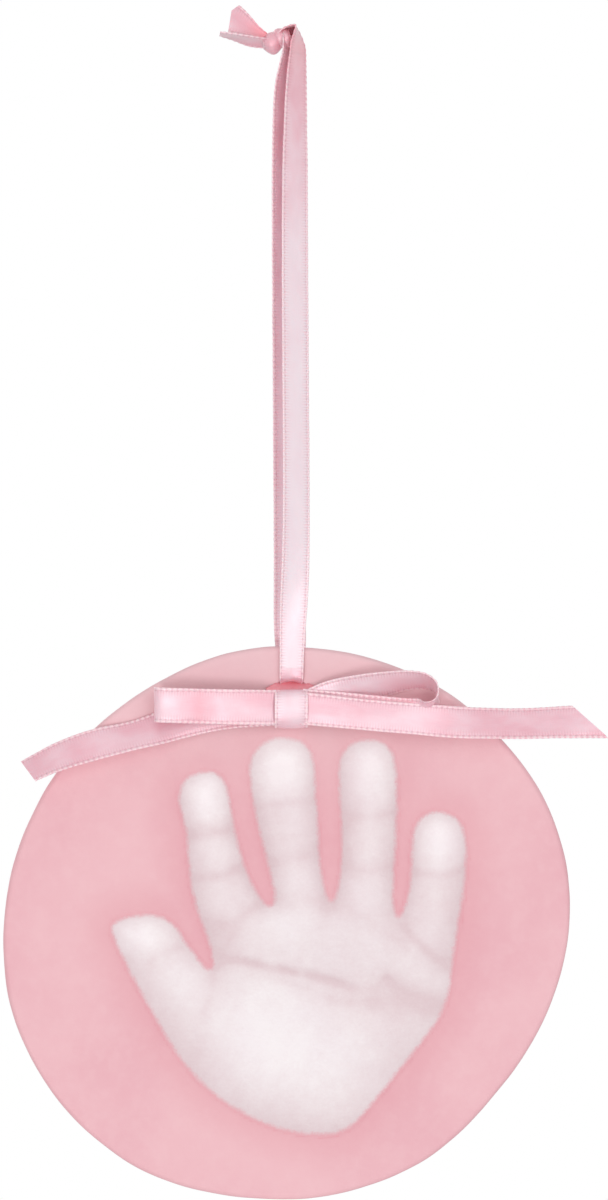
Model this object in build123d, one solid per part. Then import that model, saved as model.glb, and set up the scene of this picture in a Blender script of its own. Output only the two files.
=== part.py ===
from build123d import *
import math
import os

# A round clay plaque with a sunken handprint, hung from a nail by a doubled satin ribbon, with a flat bow.
# The nail's axis is the origin. +Z is up, +X is to the right and the printed face looks along -Y.
# Lengths are in millimetres and angles in degrees. Names ending in share or shares are fractions.

# Clay plaque
plaque_radius = 56.0
plaque_thickness = 7.0
rim_round = 2.4
paint_thickness = 0.15
print_length = 79.4
print_depth = 2.6

# Where the plaque hangs
hang_drop = 132.6
hole_radius = 3.7
hole_below_edge = 10.5
hole_side_offset = -0.4
plaque_side_offset = -1.1

# Satin ribbon, the same for the hanger and the bow
ribbon_width = 7.0
ribbon_thickness = 0.35
ribbon_gap = 0.3
hole_gap = 0.2

# Turn of ribbon over the nail
nail_radius = 0.7
turn_half_angle = 60.0
stub_start_drop = 0.15

# Knot beside the nail
knot_width = 3.7
knot_height = 4.2
knot_depth = 5.0
knot_round = 1.5
wrap_width = 1.3
wrap_height = 3.1
wrap_depth = 5.6
wrap_round = 0.5
knot_tail_width = 5.0
upper_tail_reach = 7.4
upper_tail_lift = 5.2
lower_tail_reach = 8.8
lower_tail_lift = 1.0

# Strands between the knot and the hole
neck_drop = 4.3
strand_foot_width = 5.2
strand_foot_rise = 1.25
hanger_turn_span = 160.0

# Bow
bow_knot_width = 6.7
bow_knot_height = 7.3
bow_knot_depth = 3.0
bow_knot_round = 0.6
bow_drop = 2.9
tie_turn_width = 2.8
tie_lip_span = 130.0
left_loop_reach = 23.8
right_loop_reach = 25.6
loop_puff = 3.4
right_loop_rise = 3.6
left_tail_inner = 23.4
left_tail_outer = 28.4
right_tail_inner = 25.6
right_tail_outer = 33.6
tail_joint_gap = 0.4

cut_overrun = 1.0

# Edge of the plaque, every 30 degrees from +X, as shares of plaque_radius
edge_shares = (1.013, 1.020, 1.006, 0.988, 0.968, 0.979, 1.009, 1.038, 1.027, 0.986, 0.984, 0.973)

# Handprint, from the plaque's centre, as shares of print_length: tip x, z, radius, base x, z, radius
finger_shares = (
    (-0.359, -0.057, 0.073, -0.148, -0.281, 0.111),
    (-0.204, 0.316, 0.064, -0.123, -0.110, 0.082),
    (-0.009, 0.387, 0.082, 0.049, -0.005, 0.061),
    (0.208, 0.387, 0.073, 0.204, 0.000, 0.070),
    (0.389, 0.210, 0.065, 0.353, -0.120, 0.076),
)
palm_shares = (
    (-0.205, -0.110), (-0.127, 0.016), (0.037, 0.060), (0.205, 0.060), (0.364, 0.004), (0.424, -0.110),
    (0.414, -0.198), (0.349, -0.309), (0.276, -0.394), (0.183, -0.503), (0.097, -0.535), (0.001, -0.528),
    (-0.084, -0.496), (-0.178, -0.432), (-0.251, -0.351), (-0.309, -0.273), (-0.340, -0.185),
)

# Strands: share of the drop, share of the quarter twist, side offset as a share of the turn's mean radius
strand_shares = (
    (0.00, 0.20, 1.00), (0.05, 0.36, 1.00), (0.12, 0.46, 1.05), (0.25, 0.53, 1.10),
    (0.50, 0.53, 1.15), (0.72, 0.55, 1.10), (0.86, 0.76, 0.60), (0.94, 1.00, 0.10), (1.00, 1.00, 0.00),
)
# The pair of strands leans to the knot's side: share of the drop, shift as a share of ribbon_width
lean_shares = ((0.0, 0.0), (0.12, -0.05), (0.25, -0.08), (0.72, -0.06), (1.0, 0.0))

# Loops, from the knot outwards and back: reach, depth and rise shares
left_loop_shares = (
    (0.00, 0.62, 0.00), (0.16, 0.80, 0.00), (0.40, 0.96, 0.02), (0.70, 1.00, 0.05), (0.90, 0.92, 0.08),
    (0.98, 0.74, 0.08), (1.00, 0.52, 0.08), (0.98, 0.30, 0.08), (0.90, 0.12, 0.08), (0.70, 0.04, 0.05),
    (0.40, 0.06, 0.02), (0.00, 0.20, 0.00),
)
right_loop_shares = (
    (0.00, 0.62, 0.00), (0.18, 0.82, -0.14), (0.42, 0.98, -0.34), (0.68, 1.06, -0.50), (0.90, 0.98, -0.52),
    (0.985, 0.78, -0.30), (1.00, 0.54, 0.00), (0.97, 0.30, 0.35), (0.86, 0.12, 0.78), (0.66, 0.04, 0.96),
    (0.44, 0.04, 0.78), (0.20, 0.08, 0.34), (0.00, 0.20, 0.00),
)

# Knot tails: height of the root as a share of knot_height, then shares of reach and lift at two more points
upper_root_share = 0.72
lower_root_share = 0.38
knot_tail_shares = ((0.5, 0.06, 0.4), (1.0, 0.10, 1.0))

# Tails: reach share, drop as a share of ribbon_width, depth share of loop_puff, lean of the width in degrees
left_tail_shares = (
    (0.00, 0.00, 0.00, 0.0), (0.18, 0.10, 0.00, 0.0), (0.38, 0.34, 0.00, 1.0), (0.56, 0.70, 0.02, 6.0),
    (0.76, 1.12, 0.20, 20.0), (0.90, 1.48, 0.42, 34.0), (1.00, 1.80, 0.50, 42.0),
)
right_tail_shares = (
    (0.00, 0.00, 0.00, 0.0), (0.20, 0.10, 0.00, 0.0), (0.42, 0.20, 0.00, 2.0), (0.60, 0.34, 0.10, 8.0),
    (0.76, 0.40, 0.42, 14.0), (0.90, 0.36, 0.70, 6.0), (1.00, 0.32, 0.66, -4.0),
)

# Worked out from the sizes above
front_y = -plaque_thickness / 2
back_y = plaque_thickness / 2
painted_y = front_y - paint_thickness
hole_x = hole_side_offset
hole_z = -hang_drop
centre_x = hole_x + plaque_side_offset
centre_z = hole_z + hole_below_edge - plaque_radius
turn_radius = nail_radius + ribbon_thickness / 2
tie_outer_radius = hole_radius - hole_gap
tie_inner_radius = tie_outer_radius - ribbon_thickness
hanger_outer_radius = tie_inner_radius - hole_gap
hanger_inner_radius = hanger_outer_radius - ribbon_thickness
front_strand_y = painted_y - ribbon_gap - ribbon_thickness / 2
rear_strand_y = back_y + ribbon_gap + ribbon_thickness / 2
hanger_front_y = front_strand_y - ribbon_thickness / 2
hanger_rear_y = rear_strand_y + ribbon_thickness / 2
strand_top_z = -neck_drop - ribbon_gap
strand_foot_z = hole_z + strand_foot_rise
bow_back_y = hanger_front_y - ribbon_gap
bow_front_y = bow_back_y - bow_knot_depth
bow_z = hole_z - bow_drop
bow_left_x = hole_x - bow_knot_width / 2
bow_right_x = hole_x + bow_knot_width / 2
tail_y = bow_back_y - bow_knot_round - ribbon_thickness / 2
loop_back_y = tail_y - ribbon_thickness - ribbon_gap


def blend_value(table, share):
    """Straight-line value of a two-column table at a share."""
    for (low, low_value), (high, high_value) in zip(table, table[1:]):
        if share <= high:
            return low_value + (high_value - low_value) * (share - low) / (high - low)
    return table[-1][1]


def slab(face, near_y, far_y):
    """Solid between two depths from a face drawn in the XZ plane."""
    return extrude(Pos(0, far_y, 0) * face, amount=far_y - near_y, dir=(0, -1, 0))


def round_bar(radius, near_y, far_y, x, z):
    """Cylinder along Y."""
    return slab(Plane.XZ * Pos(x, z) * Circle(radius), near_y, far_y)


def ring_sector(inner_radius, outer_radius, middle_angle, span, near_y, far_y, x, z):
    """Part of a tube along Y, round a middle angle counted from +X towards +Z."""
    start = math.radians(middle_angle - span / 2)
    end = math.radians(middle_angle + span / 2)
    middle = math.radians(middle_angle)

    def spot(radius, angle):
        return (radius * math.cos(angle), radius * math.sin(angle))

    outline = [
        ThreePointArc(spot(outer_radius, start), spot(outer_radius, middle), spot(outer_radius, end)),
        Line(spot(outer_radius, end), spot(inner_radius, end)),
        ThreePointArc(spot(inner_radius, end), spot(inner_radius, middle), spot(inner_radius, start)),
        Line(spot(inner_radius, start), spot(outer_radius, start)),
    ]
    return slab(Plane.XZ * Pos(x, z) * make_face(outline), near_y, far_y)


def pillow(width, depth, height, edge_round, place):
    """Block with every edge rounded."""
    block = Box(width, depth, height)
    return place * fillet(block.edges(), edge_round)


def plaque_face(radius):
    """Slightly uneven round outline about the plaque's centre."""
    step = 2 * math.pi / len(edge_shares)
    spots = [
        (radius * share * math.cos(step * i), radius * share * math.sin(step * i))
        for i, share in enumerate(edge_shares)
    ]
    return Plane.XZ * Pos(centre_x, centre_z) * make_face(Spline(*spots, periodic=True))


def plaque_blank():
    """Clay disc before its print and hole, with both edges rounded."""
    blank = slab(plaque_face(plaque_radius), front_y, back_y)
    ends = blank.edges().group_by(Axis.Y)
    return fillet(ends[0] + ends[-1], rim_round)


def finger_face(tip, tip_radius, base, base_radius):
    """Tapering finger: a round tip and two straight sides that reach into the palm."""
    along = (tip - base).normalized()
    across = Vector(-along.Y, along.X)
    lean = (base_radius - tip_radius) / (tip - base).length
    left = along * lean + across * math.sqrt(1 - lean**2)
    right = along * lean - across * math.sqrt(1 - lean**2)
    outline = [
        Line(base + left * base_radius, tip + left * tip_radius),
        ThreePointArc(tip + left * tip_radius, tip + along * tip_radius, tip + right * tip_radius),
        Line(tip + right * tip_radius, base + right * base_radius),
        Line(base + right * base_radius, base + left * base_radius),
    ]
    return make_face(outline)


def print_face():
    """Outline of the hand: a palm and five fingers."""
    hand = make_face(Spline(*[(x * print_length, z * print_length) for x, z in palm_shares], periodic=True))
    for shares in finger_shares:
        tip_x, tip_z, tip_radius, base_x, base_z, base_radius = [share * print_length for share in shares]
        hand += finger_face(Vector(tip_x, tip_z), tip_radius, Vector(base_x, base_z), base_radius)
    return Plane.XZ * Pos(centre_x, centre_z) * hand


def print_cutter():
    """Space that the hand pressed out, from in front of the plaque down to the print's floor."""
    return slab(print_face(), painted_y - cut_overrun, front_y + print_depth)


def hole_cutter():
    """Round hole right through the plaque."""
    return round_bar(hole_radius, painted_y - cut_overrun, back_y + cut_overrun, hole_x, hole_z)


def clay_disc():
    return plaque_blank() - print_cutter() - hole_cutter()


def paint_coat():
    """Skin of paint over the front and the rim, as far as the rear rounding."""
    coat = slab(plaque_face(plaque_radius + paint_thickness), painted_y, back_y - rim_round)
    coat = fillet(coat.edges().group_by(Axis.Y)[0], rim_round + paint_thickness)
    return coat - plaque_blank() - print_cutter() - hole_cutter()


def frame_at(points, sides, index):
    """Section plane of a ribbon: X across its width, Y out of its face."""
    before = Vector(*points[max(index - 1, 0)])
    after = Vector(*points[min(index + 1, len(points) - 1)])
    along = (after - before).normalized()
    side = Vector(*sides[index]).normalized()
    facing = along.cross(side).normalized()
    return Plane(origin=points[index], x_dir=side, z_dir=side.cross(facing))


def ribbon_sections(points, sides, widths):
    """Sections of a flat ribbon, from the direction of its width and its width at each point of a route."""
    return [
        frame_at(points, sides, index) * Rectangle(widths[index], ribbon_thickness)
        for index in range(len(points))
    ]


def ribbon(points, sides, widths):
    """Flat ribbon through a route that turns by less than a half turn."""
    return loft(ribbon_sections(points, sides, widths), ruled=True)


def print_route(name, points):
    """Print a free ribbon's length and the arc radius that each corner of its route leaves room for."""
    arc_share = 0.45
    spots = [Vector(*point) for point in points]
    runs = [(after - before).length for before, after in zip(spots, spots[1:])]
    radii = []
    for index in range(1, len(spots) - 1):
        turn = (spots[index] - spots[index - 1]).get_angle(spots[index + 1] - spots[index])
        if turn > 0:
            radii.append(arc_share * min(runs[index - 1], runs[index]) / math.tan(math.radians(turn) / 2))
    smallest = min(radii) if radii else 0
    print(f"{name}: length {sum(runs):.1f} mm, smallest radius {smallest:.1f} mm")


def hook_turn():
    """Turn of ribbon over the top of the nail."""
    outer_radius = nail_radius + ribbon_thickness
    half_width = ribbon_width / 2
    return ring_sector(nail_radius, outer_radius, 90, 2 * turn_half_angle, -half_width, half_width, 0, 0)


def twist_side(share):
    """Direction of a strand's width after a share of the quarter twist."""
    angle = math.radians(90 * share)
    return (math.sin(angle), math.cos(angle), 0)


def strand_route(hand, foot_y):
    """Route of one strand, hand being 1 on the right and -1 on the left, down to its foot."""
    drop = strand_top_z - strand_foot_z
    route = []
    for share, _, side_share in strand_shares:
        lean = blend_value(lean_shares, share) * ribbon_width
        x = hole_x * share + lean + hand * side_share * turn_radius
        y = foot_y * (neck_drop + drop * share) / (neck_drop + drop)
        route.append((x, y, strand_top_z - drop * share))
    return route


def strand(name, hand, foot_y):
    """One hanging strand, which turns its face to the plaque on the way down and ends on the hole turn."""
    route = strand_route(hand, foot_y)
    sides = [twist_side(twist_share) for _, twist_share, _ in strand_shares]
    widths = [ribbon_width] * (len(route) - 2) + [(ribbon_width + strand_foot_width) / 2, strand_foot_width]
    print_route(name, route)
    turn_space = round_bar(
        hanger_outer_radius, hanger_front_y - cut_overrun, hanger_rear_y + cut_overrun, hole_x, hole_z
    )
    return ribbon(route, sides, widths) - turn_space


def front_strand_top():
    """Short stretch from the nail down to the knot's underside, on the right of the nail."""
    first_share = strand_shares[0][1]
    foot_y = strand_route(1, front_strand_y)[0][1]
    route = [(turn_radius, 0, -stub_start_drop), (turn_radius, foot_y, -neck_drop)]
    return ribbon(route, [twist_side(0), twist_side(first_share)], [ribbon_width] * 2)


def top_knot():
    """Overhand knot: a bulb, and a wrap that lies against the nail."""
    wrap_x = -nail_radius - wrap_width / 2
    wrap_z = -stub_start_drop - wrap_height / 2
    wrap = pillow(wrap_width, wrap_depth, wrap_height, wrap_round, Pos(wrap_x, 0, wrap_z))
    bulb_x = wrap_x - wrap_width / 2 - knot_width / 2 + wrap_round
    bulb_z = -neck_drop + knot_height / 2
    return wrap + pillow(knot_width, knot_depth, knot_height, knot_round, Pos(bulb_x, 0, bulb_z))


def knot_tail(reach, lift, root_share, root_side, end_side):
    """Short cut end of the hanging ribbon, out of the knot's far side."""
    root_x = -nail_radius - wrap_width - knot_width + wrap_round
    root_z = -neck_drop + knot_height * root_share
    route = [(root_x, 0, root_z)]
    for out_share, front_share, lift_share in knot_tail_shares:
        route.append((root_x - reach * out_share, -reach * front_share, root_z + lift * lift_share))
    tail = ribbon(route, [root_side, root_side, end_side], [knot_tail_width] * len(route))
    return tail - top_knot()


def hole_turn():
    """Cupped ribbon through the hole, on which the plaque hangs."""
    radii = (hanger_inner_radius, hanger_outer_radius)
    return ring_sector(*radii, 90, hanger_turn_span, hanger_front_y, hanger_rear_y, hole_x, hole_z)


def bow_tie_turn():
    """Turn of bow ribbon round the hanging ribbon inside the hole, with a lip that meets the bow's knot."""
    ring_near_y = front_y + hole_gap
    ring_far_y = ring_near_y + tie_turn_width
    ring = round_bar(tie_outer_radius, ring_near_y, ring_far_y, hole_x, hole_z)
    ring -= round_bar(tie_inner_radius, ring_near_y - cut_overrun, ring_far_y + cut_overrun, hole_x, hole_z)
    radii = (tie_inner_radius, tie_outer_radius)
    lip = ring_sector(*radii, 270, tie_lip_span, bow_back_y, ring_far_y, hole_x, hole_z)
    return ring + lip


def bow_knot():
    """Centre band of the bow."""
    place = Pos(hole_x, (bow_back_y + bow_front_y) / 2, bow_z)
    return pillow(bow_knot_width, bow_knot_depth, bow_knot_height, bow_knot_round, place)


def bow_loop(hand, root_x, reach, rise, shares):
    """Loop of the bow, out from the knot along its front layer and back to it behind."""
    points = [
        (root_x + hand * reach * out_share, loop_back_y - loop_puff * depth_share, bow_z + rise * rise_share)
        for out_share, depth_share, rise_share in shares
    ]
    upright = [(0, 0, 1)] * len(points)
    sections = ribbon_sections(points, upright, [ribbon_width] * len(points))
    runs = [loft([start, end], ruled=True) for start, end in zip(sections, sections[1:])]
    return runs[0] + runs[1:]


def tail_route(hand, root_x, reach, shares):
    """Route of a bow tail from the knot to its cut end."""
    route = []
    for out_share, drop_share, depth_share, _ in shares:
        z = bow_z - ribbon_width * drop_share
        route.append((root_x + hand * reach * out_share, tail_y - loop_puff * depth_share, z))
    return route


def bow_tail(name, hand, root_x, inner_reach, outer_reach, shares, end_slant):
    """Both stretches of a tail: the one behind the loop, and the free end that lifts."""
    reach = inner_reach + outer_reach
    route = tail_route(hand, root_x, reach, shares)
    sides = []
    for _, _, _, lean in shares:
        angle = math.radians(lean)
        sides.append((0, math.sin(angle), math.cos(angle)))
    last = sides[-1]
    sides[-1] = (last[0] + hand * end_slant, last[1], last[2])
    print_route(name, route)
    whole = ribbon(route, sides, [ribbon_width] * len(route))
    joint_x = root_x + hand * inner_reach
    gap_half = tail_joint_gap / 2
    size = reach + ribbon_width
    inner_keep = Pos(joint_x - hand * (gap_half + size / 2), tail_y, bow_z) * Box(size, size, 2 * size)
    outer_keep = Pos(joint_x + hand * (gap_half + size / 2), tail_y, bow_z) * Box(size, size, 2 * size)
    return whole & inner_keep, whole & outer_keep


left_inner, left_outer = bow_tail(
    "left tail", -1, bow_left_x, left_tail_inner, left_tail_outer, left_tail_shares, -0.5
)
right_inner, right_outer = bow_tail(
    "right tail", 1, bow_right_x, right_tail_inner, right_tail_outer, right_tail_shares, -0.9
)

pieces = {
    "clay_disc": clay_disc(),
    "paint_coat": paint_coat(),
    "hook_turn": hook_turn(),
    "top_knot": top_knot(),
    "knot_tail_upper": knot_tail(
        upper_tail_reach, upper_tail_lift, upper_root_share, (-0.3, 0.5, 0.8), (0.5, 0.3, 0.8)
    ),
    "knot_tail_lower": knot_tail(
        lower_tail_reach, lower_tail_lift, lower_root_share, (0, 1, 0.25), (0, 1, 0.1)
    ),
    "front_strand_top": front_strand_top(),
    "front_strand": strand("front strand", 1, front_strand_y),
    "rear_strand": strand("rear strand", -1, rear_strand_y),
    "hole_turn": hole_turn(),
    "bow_tie_turn": bow_tie_turn(),
    "bow_knot": bow_knot(),
    "bow_left_loop": bow_loop(-1, bow_left_x, left_loop_reach, ribbon_width, left_loop_shares),
    "bow_right_loop": bow_loop(1, bow_right_x, right_loop_reach, right_loop_rise, right_loop_shares),
    "bow_left_tail_root": left_inner,
    "bow_left_tail_end": left_outer,
    "bow_right_tail_root": right_inner,
    "bow_right_tail_end": right_outer,
}

os.makedirs("parts", exist_ok=True)
for name, piece in pieces.items():
    export_step(piece, f"parts/{name}.step")
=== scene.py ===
import math

import bmesh
import bpy
import numpy as np
from mathutils import Matrix, Vector, noise


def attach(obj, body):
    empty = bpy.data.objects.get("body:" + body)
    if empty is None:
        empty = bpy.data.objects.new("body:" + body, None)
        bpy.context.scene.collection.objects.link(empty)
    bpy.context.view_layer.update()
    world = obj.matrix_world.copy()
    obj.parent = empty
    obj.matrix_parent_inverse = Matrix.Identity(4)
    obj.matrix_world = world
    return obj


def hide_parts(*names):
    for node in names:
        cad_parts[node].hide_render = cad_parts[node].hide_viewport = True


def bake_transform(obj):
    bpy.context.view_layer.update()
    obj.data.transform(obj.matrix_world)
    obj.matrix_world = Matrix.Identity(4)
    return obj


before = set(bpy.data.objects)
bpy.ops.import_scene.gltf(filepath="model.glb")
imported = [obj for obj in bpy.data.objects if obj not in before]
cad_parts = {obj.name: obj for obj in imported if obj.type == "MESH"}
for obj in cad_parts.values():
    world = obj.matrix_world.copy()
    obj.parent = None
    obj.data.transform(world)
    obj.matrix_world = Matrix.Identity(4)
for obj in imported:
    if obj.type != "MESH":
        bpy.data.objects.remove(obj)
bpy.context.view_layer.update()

# A round clay plaque with a sunken handprint, hung from a nail by a doubled satin ribbon, with a flat bow.
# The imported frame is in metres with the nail's axis at the origin. Sizes below are in millimetres,
# and places read off the photograph are in its pixels, x to the right and y down.

mm = 0.001
pixel_mm = 0.2
nail_px = 293.0
nail_py = 31.0
photo_middle_px = 304.0
photo_middle_py = 600.0
photo_height_px = 1200.0

# Clay plaque
plaque_front = -3.5
plaque_back = 3.5
front_rim_round = 0.9
back_rim_round = 1.8
rim_lump = 0.1
grid_cells = 212
plaque_px = 285.5
plaque_py = 921.5
hole_px = 291.0
hole_py = 697.0
hole_radius = 3.6

# Paint: its thickness and the least of it, how far its inner side lies in the clay, how far from the print
# it starts and where it thins out, and how many rings of the rim it covers
paint_thickness = 0.15
paint_lift = 0.01
paint_root = 0.05
paint_start = 0.15
taper_start = 0.1
taper_end = 1.0
painted_rings = 12

# Depths between which the clay's own colour takes over from the paint's at the back
tint_end = 2.45
bare_start = 2.85

# Handprint: depth of its floor, width of its walls at the fingers and at the palm, and the clay pushed up
# beside it
print_depth = 2.35
finger_wall = 7.0
palm_wall = 13.5
bulge_height = 0.07
bulge_away = 1.8
bulge_width = 2.2

# Distance outside the print where the painted shade beside it ends
far_outside = -9.0

# Radius of the plaque every 20 degrees from +X towards +Z
plaque_radii = (
    56.7, 57.2, 56.4, 55.7, 54.9, 54.8, 54.0, 54.3, 55.0, 56.2, 57.5, 57.7, 57.3, 55.8, 55.4, 55.1,
    54.2, 55.2,
)

# Satin ribbon, with the beads of its woven edge
ribbon_width = 7.0
ribbon_half_thickness = 0.13
bead_pitch = 1.12
bead_reach = 0.012
bead_swell_share = 0.28
bead_zone_share = 0.88
steps_per_bead = 6

# Turn of the bow's ribbon that lines the hole, which is wider and nearer at the foot and leans outwards
lining_radius = 2.95
lining_depth = -1.5
lining_width = 2.6
foot_nearer = 0.65
foot_wider = 1.2
lining_lean = 0.12

# Lamps: name, place and size in metres, power in watts
lamps = (
    ("key_lamp", (-0.5, -1.45, -0.58), 0.5, 5.6),
    ("fill_lamp", (0.8, -1.4, 0.1), 1.3, 4.2),
    ("front_lamp", (0.1, -1.6, -0.1), 1.6, 2.0),
    ("back_lamp", (-0.8, 1.3, 0.45), 0.8, 4.0),
)
lamp_aim = (0.0, 0.0, -0.15)
ambient_light = 0.58

# Colours, as screen values of 0 to 255
satin_deep = (241, 184, 197)
satin_light = (248, 208, 218)
satin_thread = (249, 214, 223)
satin_pick = (232, 178, 190)
# Painted sheen and painted shade of the satin
satin_painted_sheen = (255, 243, 249)
satin_shaded = (252, 140, 150)
satin_pulled = (224, 162, 175)
satin_stitch = (210, 152, 165)
satin_bead = (252, 219, 223)
paint_deep = (237, 180, 189)
paint_light = (242, 190, 197)
paint_speck = (246, 201, 206)
# Painted shade beside the print, and painted light at the top of the plaque
paint_shaded_beside_print = (229, 158, 168)
pink_painted_light_at_top = (246, 214, 218)
clay_deep = (248, 238, 241)
clay_light = (252, 245, 246)
# Grey of the print's tone and its painted shade
clay_grey_painted_shade = (229, 206, 210)
floor_deep = (246, 246, 246)
floor_light = (250, 250, 250)

# Outline of the handprint, in pixels of the photograph, from the tip of the thumb clockwise
hand_outline = (
    (111, 930), (117, 921), (130, 916), (146, 914), (160, 916), (171, 922), (179, 930), (185, 940),
    (193, 951), (201, 961), (208, 968), (212, 966), (211, 953), (206, 936), (197, 912), (190, 882),
    (187, 855), (186, 835), (181, 814), (178, 797), (182, 784), (191, 775), (205, 771), (218, 774),
    (226, 784), (231, 804), (235, 828), (240, 848), (246, 868), (254, 886), (262, 899), (268, 905),
    (273, 902), (273, 891), (268, 868), (261, 840), (254, 810), (250, 785), (249, 765), (255, 751),
    (265, 741), (278, 737), (291, 738), (303, 742), (311, 752), (315, 767), (317, 795), (319, 830),
    (321, 860), (325, 888), (331, 900), (336, 893), (340, 868), (341, 837), (339, 803), (338, 775),
    (341, 756), (352, 743), (366, 739), (381, 741), (391, 749), (396, 763), (398, 790), (397, 830),
    (395, 868), (394, 900), (398, 916), (404, 908), (409, 885), (411, 855), (413, 833), (419, 820),
    (428, 813), (440, 811), (452, 815), (461, 823), (466, 838), (467, 860), (464, 893), (459, 925),
    (454, 958), (450, 990), (441, 1016), (427, 1036), (410, 1058), (392, 1080), (373, 1104),
    (354, 1125), (338, 1133), (318, 1135), (296, 1133), (268, 1125), (240, 1112), (213, 1094),
    (188, 1069), (168, 1041), (150, 1010), (134, 981), (121, 955),
)

# Pads that pressed deeper, or less deep where negative: x, y, half width, half height in pixels, depth
hand_pads = (
    (204, 802, 20, 24, 0.5), (283, 772, 26, 30, 0.6), (368, 772, 24, 28, 0.6),
    (439, 842, 22, 26, 0.45), (143, 938, 28, 20, 0.5), (212, 858, 20, 18, 0.12),
    (291, 838, 24, 22, 0.1), (368, 842, 24, 20, 0.12), (250, 930, 30, 20, 0.15),
    (295, 932, 30, 20, 0.35), (362, 935, 30, 22, 0.15), (424, 948, 24, 20, 0.25),
    (330, 985, 60, 26, -0.85), (232, 985, 30, 22, -0.45), (400, 1000, 40, 18, -0.45),
    (270, 1085, 70, 40, 0.55), (205, 1030, 36, 40, 0.35), (390, 1045, 40, 36, 0.3),
)

# Painted highlight, whiter, and painted shade, greyer, on the print: x, y, half width, half height, grey
# added
hand_painted_light = (
    (211, 796, 24, 30, -0.5), (283, 768, 30, 30, -0.5), (374, 768, 26, 32, -0.48),
    (441, 840, 22, 28, -0.48), (142, 935, 34, 22, -0.5), (188, 977, 24, 24, -0.34),
    (262, 1036, 58, 56, -0.42), (336, 1062, 56, 48, -0.22), (282, 920, 28, 18, -0.36),
    (442, 984, 14, 12, -0.26), (228, 856, 22, 12, -0.12), (300, 884, 24, 18, -0.14),
    (370, 890, 24, 20, -0.12), (226, 936, 30, 18, 0.2), (396, 1004, 52, 20, 0.42),
    (276, 822, 18, 26, 0.14), (350, 826, 12, 40, 0.2), (446, 905, 18, 20, 0.14),
    (331, 906, 14, 10, 0.22), (200, 1052, 40, 26, 0.16), (212, 830, 24, 8, 0.18),
    (432, 1034, 22, 44, -0.24), (388, 1098, 32, 32, -0.2),
)

# Ridges left by the creases of the skin, with painted shade along them: points, half width and height in
# millimetres
hand_creases = (
    (((182, 833), (202, 836), (234, 829)), 0.8, 0.26),
    (((190, 878), (218, 877), (246, 866)), 1.0, 0.3),
    (((204, 921), (226, 924), (246, 915), (262, 903)), 1.0, 0.22),
    (((254, 808), (285, 804), (318, 800)), 0.9, 0.16),
    (((264, 862), (292, 860), (321, 853)), 1.1, 0.2),
    (((276, 902), (300, 906), (326, 899)), 1.1, 0.16),
    (((339, 815), (368, 818), (397, 812)), 0.9, 0.18),
    (((341, 866), (368, 872), (396, 864)), 1.0, 0.22),
    (((412, 872), (438, 876), (467, 868)), 0.9, 0.24),
    (((404, 926), (414, 940), (430, 954), (446, 964), (458, 967)), 0.8, 0.42),
    (((216, 961), (236, 961), (262, 966), (290, 972), (318, 978), (340, 984)), 0.8, 0.5),
    (((262, 978), (292, 984), (318, 994), (340, 999)), 0.7, 0.12),
    (((338, 983), (356, 989), (374, 990)), 0.9, 0.22),
    (((386, 978), (396, 989), (410, 998), (428, 1006), (446, 1012)), 0.8, 0.44),
    (((330, 1001), (356, 1003), (378, 1000)), 0.7, 0.14),
    (((214, 968), (213, 990), (204, 1012)), 0.9, 0.2),
    (((150, 962), (172, 950), (192, 950)), 1.0, 0.16),
    (((236, 930), (228, 944), (222, 958)), 0.7, 0.12),
    (((352, 912), (384, 930), (408, 952)), 0.8, 0.12),
)


def at(px, py, depth=0.0):
    """Point in the frame from a pixel of the photograph and a depth in millimetres away from the viewer."""
    return Vector(((px - nail_px) * pixel_mm, depth, (nail_py - py) * pixel_mm)) * mm


def smooth_step(low, high, values):
    """0 at the low value, 1 at the high one, and a smooth rise between them."""
    share = np.clip((values - low) / (high - low), 0, 1)
    return share * share * (3 - 2 * share)


def around(values, turns):
    """Smooth closed curve through evenly spaced values, at shares of a whole turn."""
    values = np.asarray(values, float)
    place = (np.asarray(turns, float) % 1) * len(values)
    index = np.floor(place).astype(int)
    share = place - index
    if values.ndim > 1:
        share = share[:, None]
    before, here, after, beyond = [values[(index + step) % len(values)] for step in (-1, 0, 1, 2)]
    return 0.5 * (
        2 * here
        + (after - before) * share
        + (2 * before - 5 * here + 4 * after - beyond) * share**2
        + (3 * here - before - 3 * after + beyond) * share**3
    )


def new_object(name, vertices, faces, smooth=True):
    """Object with a mesh of these vertices, in metres, and faces."""
    mesh = bpy.data.meshes.new(name)
    mesh.from_pydata([tuple(vertex) for vertex in vertices], [], faces)
    mesh.validate()
    mesh.polygons.foreach_set("use_smooth", [smooth] * len(mesh.polygons))
    made = bpy.data.objects.new(name, mesh)
    bpy.context.collection.objects.link(made)
    return made


def give_values(made, name, values):
    """Store one number for each vertex, for a material to read."""
    attribute = made.data.attributes.new(name, "FLOAT", "POINT")
    attribute.data.foreach_set("value", np.asarray(values, np.float32))


def face_outwards(made):
    """Turn every face of a closed mesh outwards."""
    shape = bmesh.new()
    shape.from_mesh(made.data)
    bmesh.ops.recalc_face_normals(shape, faces=shape.faces[:])
    shape.to_mesh(made.data)
    shape.free()


# Camera

def add_camera():
    """Camera at the photograph's place: level, square to the plaque, far off."""
    distance = 1.4
    data = bpy.data.cameras.new("camera")
    data.sensor_width = 36.0
    data.lens = data.sensor_width * distance / (photo_height_px * pixel_mm * mm)
    data.clip_start = 0.05
    data.clip_end = 50.0
    camera = bpy.data.objects.new("camera", data)
    camera.location = at(photo_middle_px, photo_middle_py, plaque_front) - Vector((0, distance, 0))
    camera.rotation_euler = (math.radians(90), 0, 0)
    bpy.context.collection.objects.link(camera)
    bpy.context.scene.camera = camera


# Ribbon

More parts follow.
